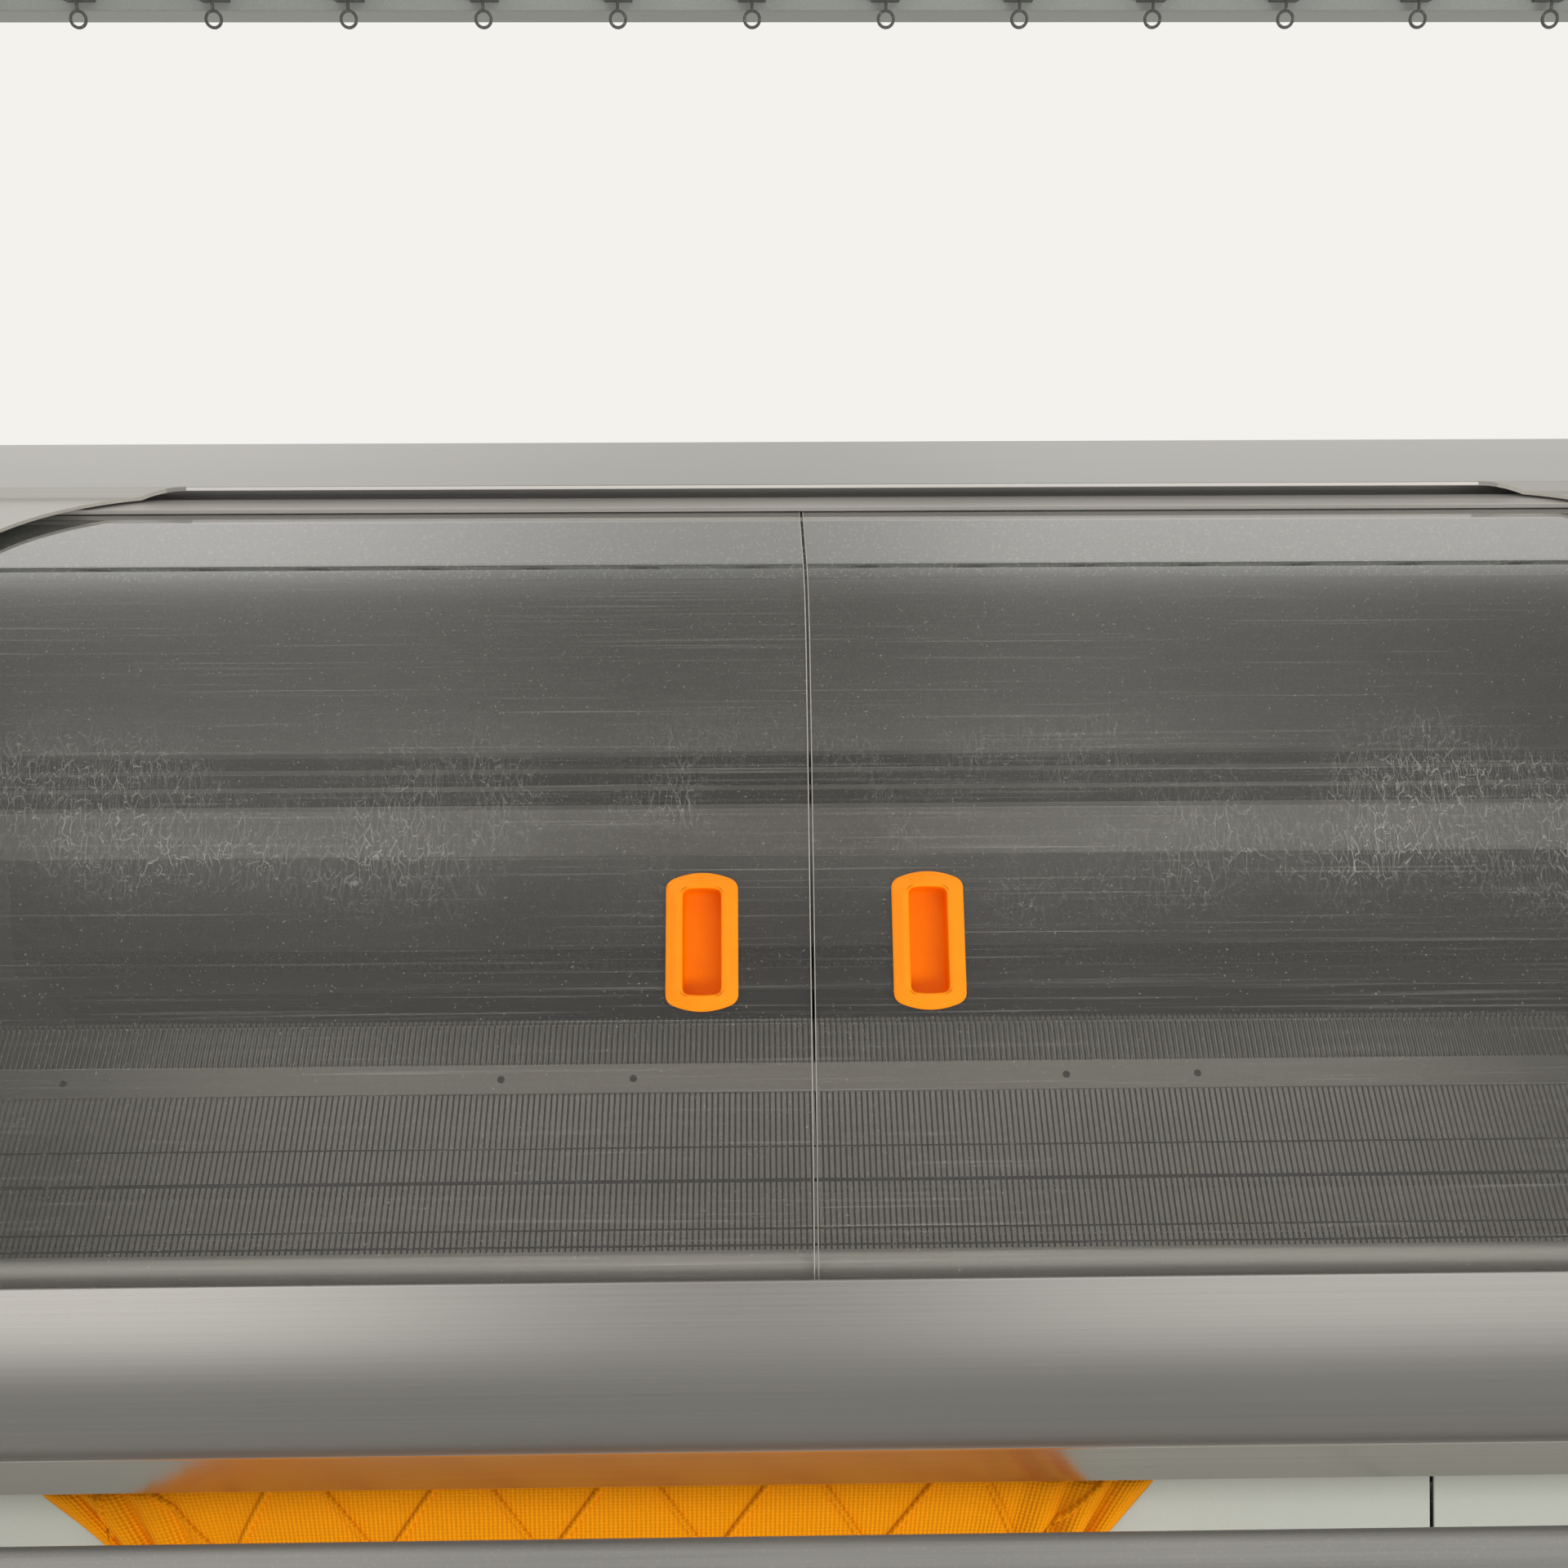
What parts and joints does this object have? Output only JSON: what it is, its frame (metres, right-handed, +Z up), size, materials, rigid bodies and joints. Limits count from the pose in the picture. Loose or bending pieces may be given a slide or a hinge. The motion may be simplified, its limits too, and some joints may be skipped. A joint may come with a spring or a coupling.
{
  "type": "industrial knitting machine",
  "caption": "Flat knitting machine with two needle beds in a V, a belt-driven cam carriage, sliding clear covers with orange pulls, a take-down and an operating bar.",
  "frame": {"origin": "on the floor under the middle of the machine's outline", "axes": "+Z up, +X along the needle beds to the operator's right, -Y towards the operator"},
  "size_m": [2.1, 0.828, 1.785],
  "materials": {
    "casting": "satin dark grey paint on cast and welded steel",
    "feet": "black oxide",
    "panel": "light grey-green textured powder coat",
    "extrusion": "brushed lengthwise",
    "hood": "fine brushed sheet",
    "dark_sheet": "matt black paint",
    "bed_steel": "ground and lightly oiled",
    "rail_steel": "ground",
    "carriage": "grey paint",
    "belt_rubber": "matt",
    "pulley_metal": "turned",
    "motor_black": "satin black",
    "roller_rubber": "ground rubber sleeve",
    "clear_sheet": "clear acrylic sheet with fine scratches",
    "orange_plastic": "glossy moulded",
    "bar_metal": "satin grey tube",
    "knit": "knitted orange-yellow yarn",
    "grey_paint": "satin paint",
    "tensioner_plastic": "moulded",
    "pale_plastic": "moulded housing",
    "red_plastic": "glossy moulded",
    "carrier_brass": "stamped"
  },
  "bodies": {
    "machine": {"pedestal_left": "casting", "pedestal_right": "casting", "levelling_feet": "feet", "bed_support_front": "casting", "bed_support_rear": "casting", "end_wall_left": "panel", "end_wall_right": "panel", "frame_tubes": "casting", "apron_left": "panel", "apron_centre": "panel", "apron_right": "panel", "front_beam": "extrusion", "cover_rail_lower": "extrusion", "cover_rail_upper": "extrusion", "hood_left": "hood", "hood_right": "hood", "top_deck": "hood", "inner_wall": "dark_sheet", "rear_panel": "panel", "front_bed": "bed_steel", "front_strip": "bed_steel", "carrier_rails": "rail_steel", "rail_brackets": "casting", "carriage_rail_front": "rail_steel", "carriage_rail_rear": "rail_steel", "belt": "belt_rubber", "pulley_mounts": "casting", "servo_motor": "motor_black", "roller_bearings": "casting", "takedown_motor": "motor_black", "bar_brackets": "casting", "knitted_panel": "knit", "yarn_posts": "grey_paint", "yarn_beam": "grey_paint", "tensioners": "tensioner_plastic", "panel_post": "grey_paint"},
    "rear_bed": {"rear_bed": "bed_steel", "rear_strip": "bed_steel"},
    "carriage": {"carriage_bridge": "carriage", "cam_box_front": "carriage", "cam_box_rear": "carriage"},
    "drive_pulley": {"drive_pulley": "pulley_metal"},
    "idler_pulley": {"idler_pulley": "pulley_metal"},
    "roller_front": {"roller_front": "roller_rubber"},
    "roller_rear": {"roller_rear": "roller_rubber"},
    "cover_left": {"cover_left": "clear_sheet", "pull_left": "orange_plastic"},
    "cover_right": {"cover_right": "clear_sheet", "pull_right": "orange_plastic"},
    "operating_bar": {"operating_bar": "bar_metal"},
    "control_panel": {"control_panel": "pale_plastic"},
    "emergency_stop": {"emergency_stop": "red_plastic"},
    "yarn_carrier_1": {"yarn_carrier_1": "carrier_brass"},
    "yarn_carrier_2": {"yarn_carrier_2": "carrier_brass"},
    "yarn_carrier_3": {"yarn_carrier_3": "carrier_brass"},
    "yarn_carrier_4": {"yarn_carrier_4": "carrier_brass"},
    "yarn_carrier_5": {"yarn_carrier_5": "carrier_brass"},
    "yarn_carrier_6": {"yarn_carrier_6": "carrier_brass"}
  },
  "joints": [
    {"name": "carriage_traverse", "type": "slide", "parent": "machine", "child": "carriage", "axis": [1, 0, 0], "range_m": [0, 1.58]},
    {"name": "drive_pulley_turn", "type": "hinge", "parent": "machine", "child": "drive_pulley", "pos_m": [0.985, 0.218, 0.914], "axis": [0, 1, 0], "continuous": true},
    {"name": "idler_pulley_turn", "type": "hinge", "parent": "machine", "child": "idler_pulley", "pos_m": [-0.985, 0.218, 0.914], "axis": [0, 1, 0], "continuous": true},
    {"name": "rear_bed_racking", "type": "slide", "parent": "machine", "child": "rear_bed", "axis": [1, 0, 0], "range_m": [-0.025, 0.025]},
    {"name": "roller_front_turn", "type": "hinge", "parent": "machine", "child": "roller_front", "pos_m": [0, -0.0915, 0.82], "axis": [1, 0, 0], "continuous": true},
    {"name": "roller_rear_turn", "type": "hinge", "parent": "machine", "child": "roller_rear", "pos_m": [0, -0.0285, 0.82], "axis": [1, 0, 0], "continuous": true},
    {"name": "cover_left_slide", "type": "slide", "parent": "machine", "child": "cover_left", "axis": [-1, 0, 0], "range_m": [0, 0.4]},
    {"name": "cover_right_slide", "type": "slide", "parent": "machine", "child": "cover_right", "axis": [1, 0, 0], "range_m": [0, 0.4]},
    {"name": "operating_bar_twist", "type": "hinge", "parent": "machine", "child": "operating_bar", "pos_m": [0, -0.396, 0.895], "axis": [1, 0, 0], "range_deg": [-25, 25], "stiffness_Nm_per_rad": 2},
    {"name": "control_panel_swivel", "type": "hinge", "parent": "machine", "child": "control_panel", "pos_m": [0.915, 0.17, 1.6], "axis": [0, 0, 1], "range_deg": [-60, 30]},
    {"name": "emergency_stop_push", "type": "slide", "parent": "control_panel", "child": "emergency_stop", "axis": [0, 1, 0], "range_m": [0, 0.004], "stiffness_N_per_m": 800},
    {"name": "yarn_carrier_1_slide", "type": "slide", "parent": "machine", "child": "yarn_carrier_1", "axis": [1, 0, 0], "range_m": [-0.28, 1.52]},
    {"name": "yarn_carrier_2_slide", "type": "slide", "parent": "machine", "child": "yarn_carrier_2", "axis": [1, 0, 0], "range_m": [-1.52, 0.28]},
    {"name": "yarn_carrier_3_slide", "type": "slide", "parent": "machine", "child": "yarn_carrier_3", "axis": [1, 0, 0], "range_m": [-0.235, 1.565]},
    {"name": "yarn_carrier_4_slide", "type": "slide", "parent": "machine", "child": "yarn_carrier_4", "axis": [1, 0, 0], "range_m": [-1.565, 0.235]},
    {"name": "yarn_carrier_5_slide", "type": "slide", "parent": "machine", "child": "yarn_carrier_5", "axis": [1, 0, 0], "range_m": [-0.19, 1.61]},
    {"name": "yarn_carrier_6_slide", "type": "slide", "parent": "machine", "child": "yarn_carrier_6", "axis": [1, 0, 0], "range_m": [-1.61, 0.19]}
  ],
  "couplings": [
    {"joint": "drive_pulley_turn", "follows": "carriage_traverse", "rad_per_m": 26.18},
    {"joint": "idler_pulley_turn", "follows": "carriage_traverse", "rad_per_m": 26.18},
    {"joint": "roller_rear_turn", "follows": "roller_front_turn", "ratio": -1}
  ]
}
